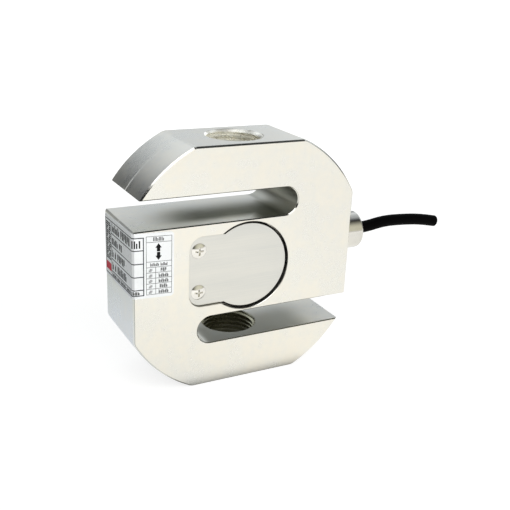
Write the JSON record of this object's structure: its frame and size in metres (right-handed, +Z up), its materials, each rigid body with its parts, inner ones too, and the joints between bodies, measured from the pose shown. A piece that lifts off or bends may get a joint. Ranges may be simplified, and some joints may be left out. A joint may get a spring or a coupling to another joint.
{
  "type": "s type load cell",
  "caption": "S-shaped force sensor for tension and compression: slotted steel spring element with a threaded hole at each end, sealed gauge pocket, cable gland and cable stub.",
  "frame": {"origin": "centre of the bottom face, on the common axis of the two load threads", "axes": "+Z up along the load axis, from the lower thread to the upper one; -Y is the front face with the label's narrow part; +X is the side face with the cable gland"},
  "size_m": [0.1205, 0.0251, 0.076],
  "materials": {
    "nickel_plated_steel": "satin nickel plating over machined steel",
    "cover_steel": "brushed stainless sheet",
    "screw_steel": "polished steel",
    "gasket_rubber": "matt black",
    "gland_nickel": "polished nickel plating",
    "gauge_film": "amber polyimide film",
    "gauge_foil": "etched metal foil",
    "terminal_board": "glass-fibre laminate",
    "solder": "bright solder",
    "resistor_ceramic": "glazed ceramic",
    "enamelled_copper": "enamelled wire",
    "cable_black": "smooth flexible plastic",
    "cable_shield": "tinned copper braid",
    "core_red": "core insulation",
    "core_white": "core insulation",
    "core_green": "core insulation",
    "core_blue": "core insulation",
    "label_film": "printed polyester film"
  },
  "bodies": {
    "root": {"spring_element": "nickel_plated_steel", "front_cover": "cover_steel", "rear_cover": "cover_steel", "front_cover_screw_upper": "screw_steel", "front_cover_screw_lower": "screw_steel", "rear_cover_screw_upper": "screw_steel", "rear_cover_screw_lower": "screw_steel", "front_gasket": "gasket_rubber", "rear_gasket": "gasket_rubber", "front_gauge_backing": "gauge_film", "rear_gauge_backing": "gauge_film", "front_gauge_grids": "gauge_foil", "rear_gauge_grids": "gauge_foil", "front_terminal_strip": "terminal_board", "rear_terminal_strip": "terminal_board", "front_solder_pads": "solder", "rear_solder_pads": "solder", "front_gauge_leads": "enamelled_copper", "rear_gauge_leads": "enamelled_copper", "link_wires": "enamelled_copper", "compensation_board": "terminal_board", "compensation_resistors": "resistor_ceramic", "gland_body": "gland_nickel", "gland_nut": "gland_nickel", "gland_washer": "gland_nickel", "gland_grommet": "gasket_rubber", "gland_o_ring": "gasket_rubber", "held_jacket": "cable_black", "held_shield": "cable_shield", "cable_jacket": "cable_black", "cable_shield": "cable_shield", "lead_red": "core_red", "lead_white": "core_white", "lead_green": "core_green", "lead_blue": "core_blue", "core_red": "core_red", "core_white": "core_white", "core_green": "core_green", "core_blue": "core_blue", "core_conductors": "enamelled_copper", "label": "label_film"}
  },
  "joints": []
}
